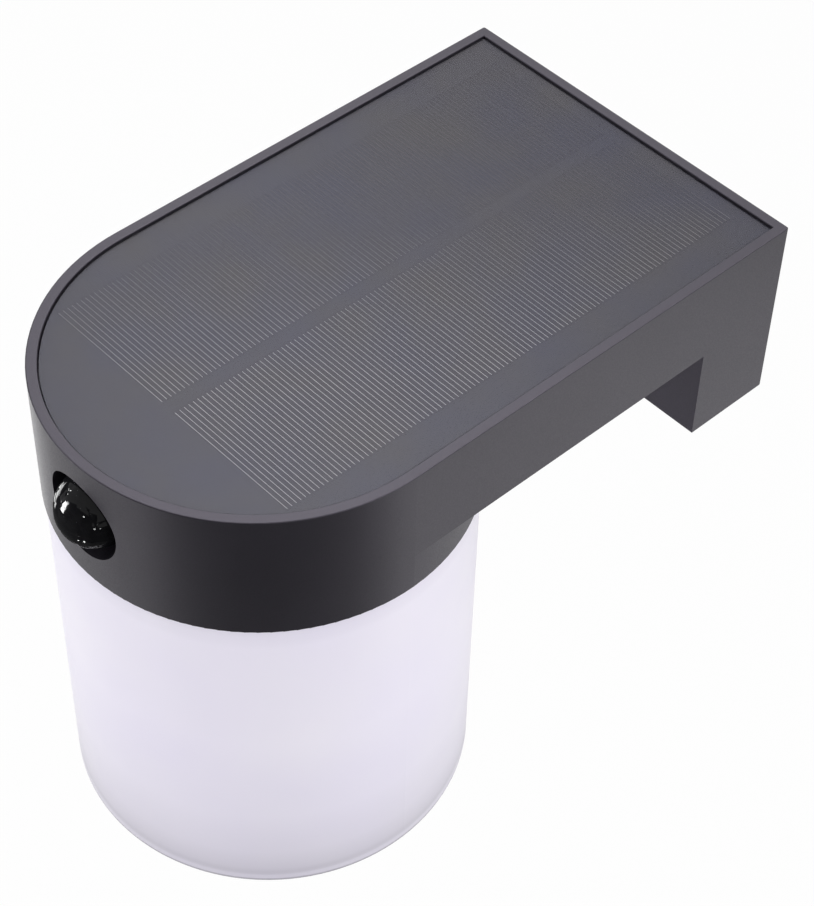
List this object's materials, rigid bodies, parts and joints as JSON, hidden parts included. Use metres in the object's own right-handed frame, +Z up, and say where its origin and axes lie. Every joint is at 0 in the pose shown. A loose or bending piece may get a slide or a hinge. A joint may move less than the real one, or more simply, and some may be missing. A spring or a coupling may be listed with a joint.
{
  "type": "solar wall light",
  "caption": "Solar wall light: a D-shaped arm with a solar panel on top, a domed motion sensor in its round nose and a cylindrical opal diffuser below, hung on a folded wall bracket.",
  "frame": {"origin": "midway between the two wall-screw holes, on the wall plane", "axes": "+Z up, -Y out of the wall towards the nose, +X along the wall to the right of someone facing it"},
  "size_m": [0.108, 0.1839, 0.1427],
  "materials": {
    "housing_black": "fine satin moulded plastic",
    "foam_tape": "foam tape",
    "panel_dark": "coated board",
    "cell_silicon": "silicon cell with fine silver fingers",
    "panel_film": "clear satin film",
    "lens_black": "polished smoked lens",
    "can_metal": "drawn metal can",
    "board_green": "solder-masked board",
    "plug_white": "moulded nylon",
    "screw_steel": "plated steel",
    "base_white": "white moulded plastic",
    "led_board_white": "white-masked metal-core board",
    "diode_yellow": "phosphor in a white frame",
    "seal_rubber": "silicone rubber",
    "opal_plastic": "satin opal plastic",
    "battery_wrap": "shrink sleeve over a metal can",
    "clamp_grey": "moulded plastic",
    "tab_nickel": "nickel strip",
    "button_grey": "soft-touch moulding",
    "switch_black": "moulded plastic",
    "inductor_ferrite": "ferrite",
    "capacitor_can": "sleeved can",
    "bracket_zinc": "zinc-plated sheet",
    "lead_red": "insulated wire",
    "lead_black": "insulated wire",
    "lead_white": "insulated wire"
  },
  "bodies": {
    "light": {"housing": "housing_black", "arm_cover": "housing_black", "sensor_retainer": "housing_black", "panel_tape": "foam_tape", "panel_backing": "panel_dark", "solar_cells": "cell_silicon", "panel_film": "panel_film", "sensor_lens": "lens_black", "sensor_can": "can_metal", "sensor_board": "board_green", "sensor_plug": "plug_white", "sensor_screws": "screw_steel", "lamp_base": "base_white", "lamp_base_screws": "screw_steel", "led_board": "led_board_white", "led_board_screws": "screw_steel", "leds": "diode_yellow", "led_plug": "plug_white", "diffuser_seal": "seal_rubber", "battery_cell": "battery_wrap", "battery_clamp": "clamp_grey", "battery_clamp_screws": "screw_steel", "battery_tabs": "tab_nickel", "arm_cover_seal": "seal_rubber", "arm_cover_screws": "screw_steel", "button_seal": "seal_rubber", "control_board": "board_green", "control_board_screws": "screw_steel", "mode_switch": "switch_black", "control_chip": "switch_black", "power_inductor": "inductor_ferrite", "filter_capacitors": "capacitor_can", "wall_bracket": "bracket_zinc", "lock_screws": "screw_steel", "sensor_leads": "lead_white", "led_lead_red": "lead_red", "led_lead_black": "lead_black", "battery_lead_red": "lead_red", "battery_lead_black": "lead_black", "panel_lead_red": "lead_red", "panel_lead_black": "lead_black"},
    "button": {"mode_button": "button_grey", "switch_stem": "switch_black"},
    "diffuser": {"diffuser": "opal_plastic"}
  },
  "joints": [
    {"name": "mode_button_press", "type": "slide", "parent": "light", "child": "button", "axis": [0, 0, 1], "range_m": [0, 0.0008], "stiffness_N_per_m": 1500, "springref_m": -0.001},
    {"name": "diffuser_twist", "type": "hinge", "parent": "light", "child": "diffuser", "pos_m": [0, -0.1247, -0.0111], "axis": [0, 0, -1], "range_deg": [0, 30]}
  ]
}
